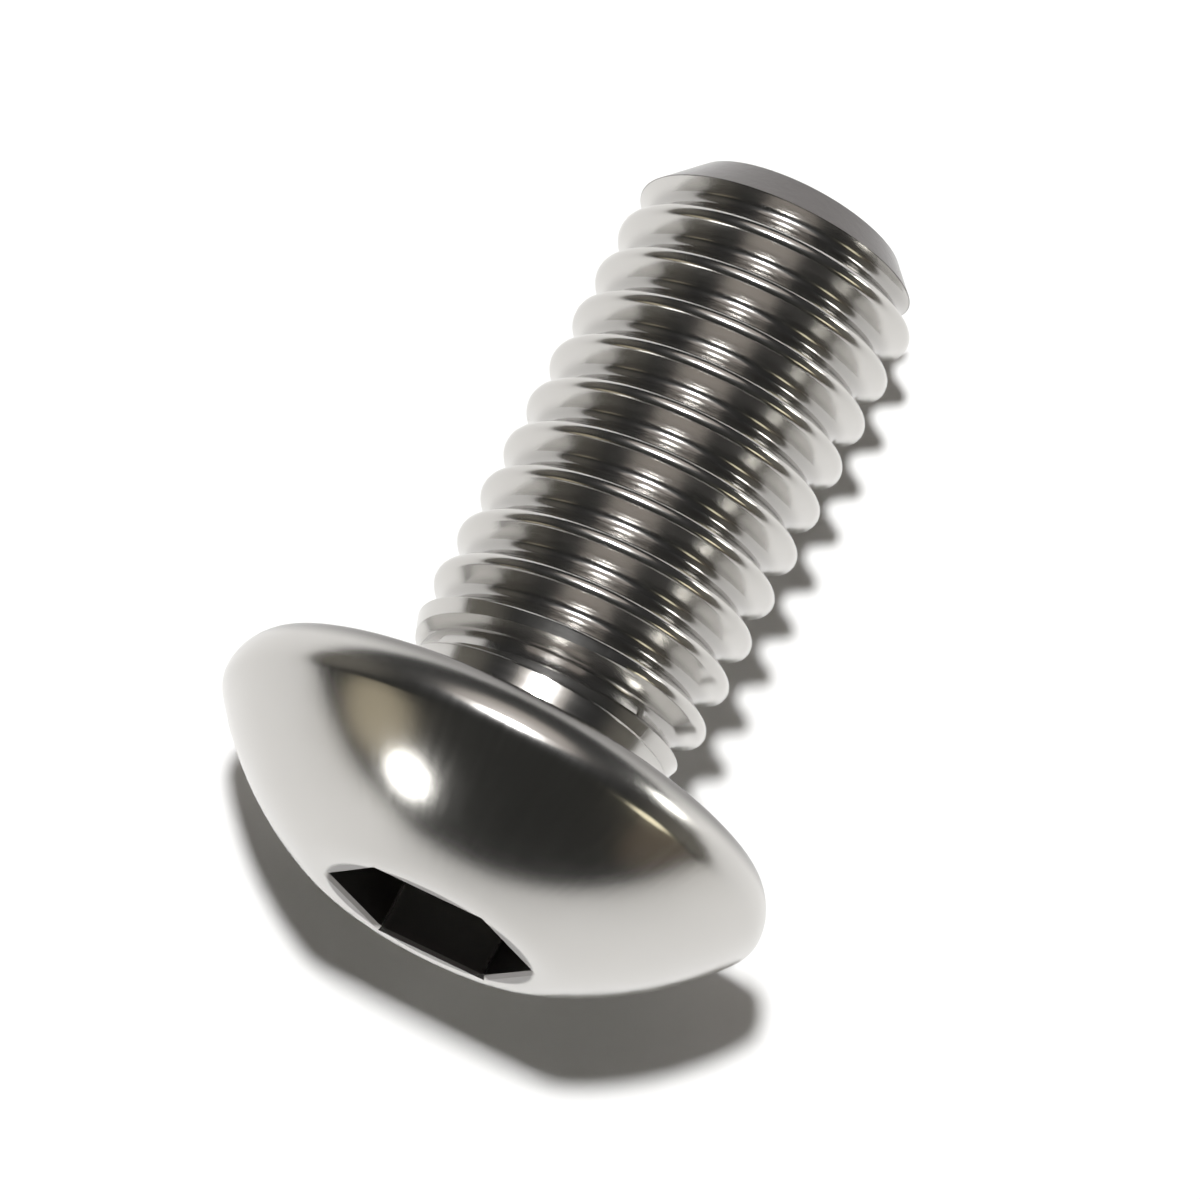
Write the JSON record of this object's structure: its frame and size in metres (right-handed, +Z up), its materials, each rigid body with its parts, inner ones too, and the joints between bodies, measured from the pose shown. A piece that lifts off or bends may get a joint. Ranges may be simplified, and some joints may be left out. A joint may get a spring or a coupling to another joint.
{
  "type": "button head screw",
  "caption": "Stainless button head screw with a low domed head, a hexagon socket and a rolled thread, lying on its rim and tip.",
  "frame": {"origin": "on the ground, under the middle of the lying screw's bounding box", "axes": "+Z up, +Y along the lying screw from its head towards its tip, X across it; the screw's own axis rises 12.3 degrees towards its head"},
  "size_m": [0.0092, 0.0133, 0.009],
  "materials": {
    "steel": "bright polished stainless steel"
  },
  "bodies": {
    "root": {"button_head_screw": "steel"}
  },
  "joints": []
}
